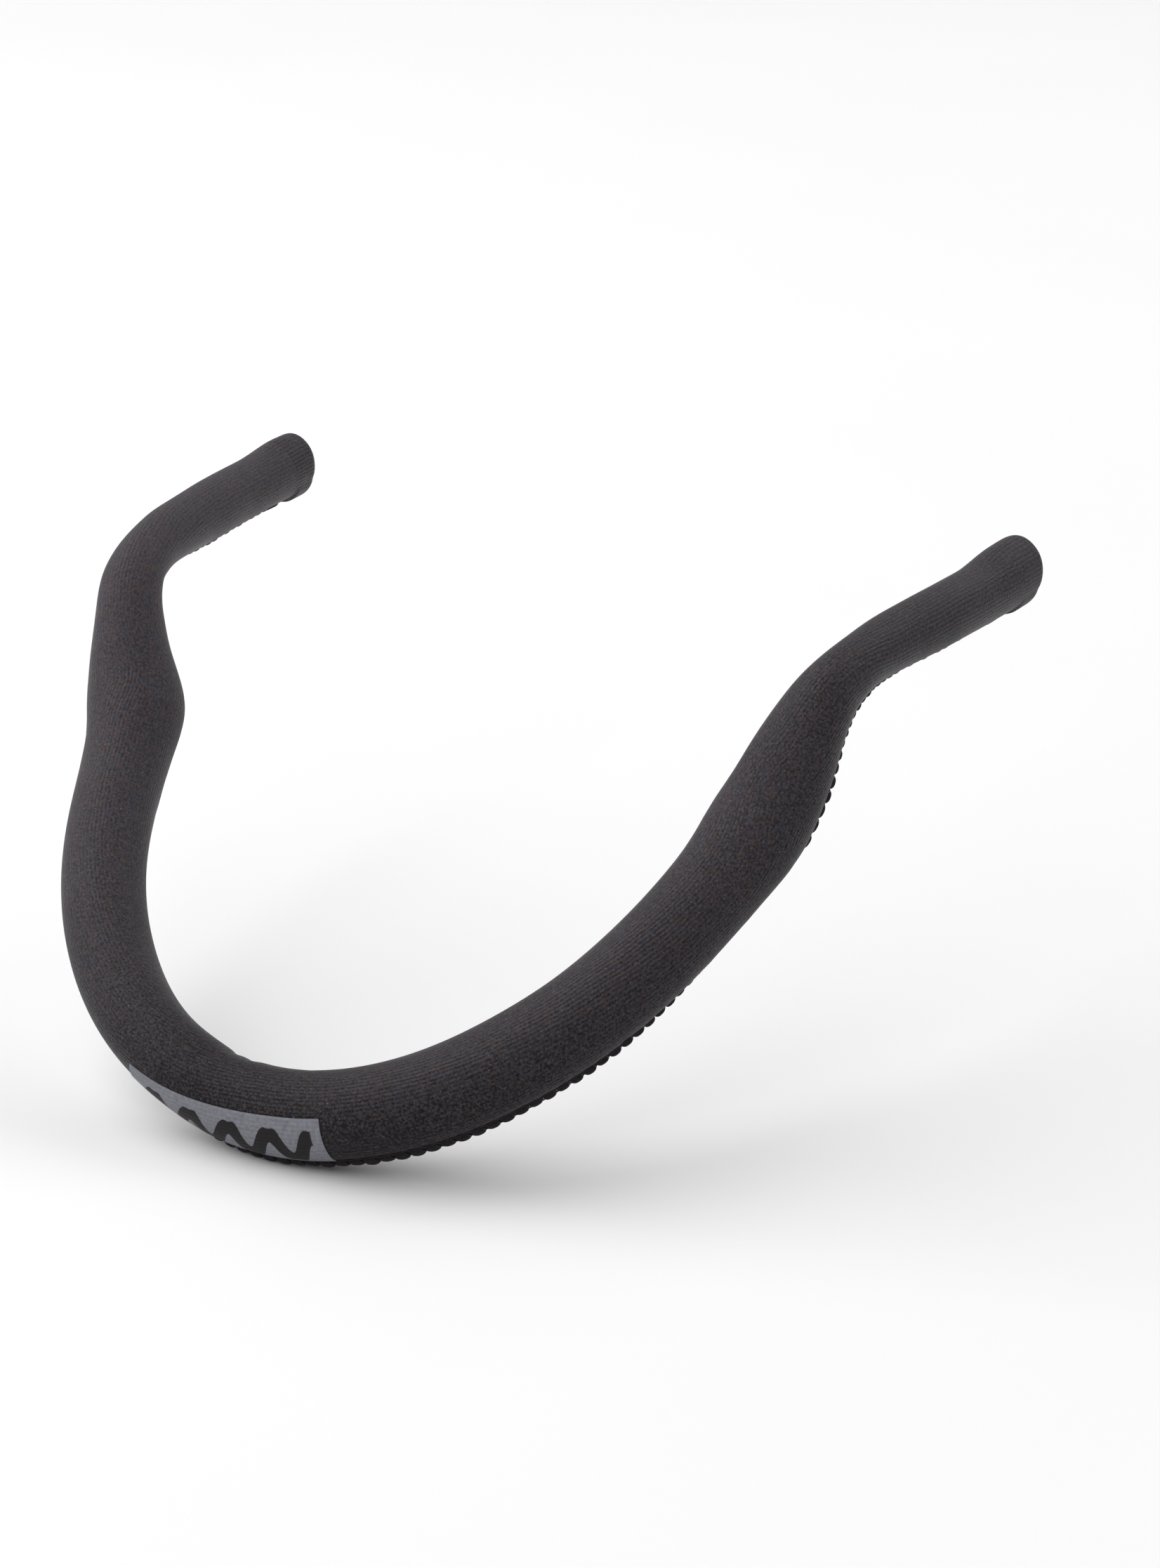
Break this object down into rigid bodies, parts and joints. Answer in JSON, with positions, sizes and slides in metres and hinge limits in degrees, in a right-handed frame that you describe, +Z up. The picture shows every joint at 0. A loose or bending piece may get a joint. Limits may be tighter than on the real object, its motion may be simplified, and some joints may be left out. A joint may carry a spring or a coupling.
{
  "type": "eyeglass retainer strap",
  "caption": "Floating eyeglass retainer: a sewn ribbed neoprene tube over a foam rod, looped round the neck, with soft grip sleeves that stretch over the temple arms.",
  "frame": {"origin": "where the middle of the float rests on the nape of the neck: the front of the tube at its middle", "axes": "+Y points forward, from the nape to the glasses, +Z up, +X to the wearer's right; the strap is symmetric about X = 0"},
  "size_m": [0.1474, 0.1255, 0.0763],
  "materials": {
    "jersey": "charcoal nylon jersey over neoprene, fine lengthwise wales, soft sheen",
    "seam_edge": "overlocked seam allowance, scalloped",
    "thread": "black textured nylon thread",
    "foam": "closed-cell foam",
    "print": "flat grey screen print on the jersey"
  },
  "bodies": {
    "float": {"float_cover": "jersey", "float_seam": "seam_edge", "foam_core": "foam", "label_print": "print"},
    "right_ear": {"right_ear_sleeve": "jersey", "right_ear_seam": "seam_edge", "right_neck_sleeve": "jersey", "right_neck_seam": "seam_edge"},
    "right_grip": {"right_cuff": "jersey", "right_cuff_tack": "thread", "right_grip_sleeve": "jersey", "right_grip_seam": "seam_edge", "right_bend_sleeve": "jersey", "right_bend_seam": "seam_edge"},
    "left_ear": {"left_ear_sleeve": "jersey", "left_ear_seam": "seam_edge", "left_neck_sleeve": "jersey", "left_neck_seam": "seam_edge"},
    "left_grip": {"left_cuff": "jersey", "left_cuff_tack": "thread", "left_grip_sleeve": "jersey", "left_grip_seam": "seam_edge", "left_bend_sleeve": "jersey", "left_bend_seam": "seam_edge"}
  },
  "joints": [
    {"name": "right_neck_splay", "type": "hinge", "parent": "float", "child": "right_ear", "pos_m": [0.05876, 0.04495, 0.04557], "axis": [-0.1297, 0.9077, -0.399], "range_deg": [-20, 25], "stiffness_Nm_per_rad": 0.05, "deforming": ["right_neck_sleeve", "right_neck_seam"]},
    {"name": "right_ear_bend", "type": "hinge", "parent": "right_ear", "child": "right_grip", "pos_m": [0.06351, 0.0543, 0.06045], "axis": [0.9626, -0.069, -0.2619], "range_deg": [-15, 60], "stiffness_Nm_per_rad": 0.03, "deforming": ["right_bend_sleeve", "right_bend_seam"]},
    {"name": "left_neck_splay", "type": "hinge", "parent": "float", "child": "left_ear", "pos_m": [-0.05876, 0.04495, 0.04557], "axis": [-0.1297, -0.9077, 0.399], "range_deg": [-20, 25], "stiffness_Nm_per_rad": 0.05, "deforming": ["left_neck_sleeve", "left_neck_seam"]},
    {"name": "left_ear_bend", "type": "hinge", "parent": "left_ear", "child": "left_grip", "pos_m": [-0.06351, 0.0543, 0.06045], "axis": [0.9626, 0.069, 0.2619], "range_deg": [-15, 60], "stiffness_Nm_per_rad": 0.03, "deforming": ["left_bend_sleeve", "left_bend_seam"]}
  ]
}
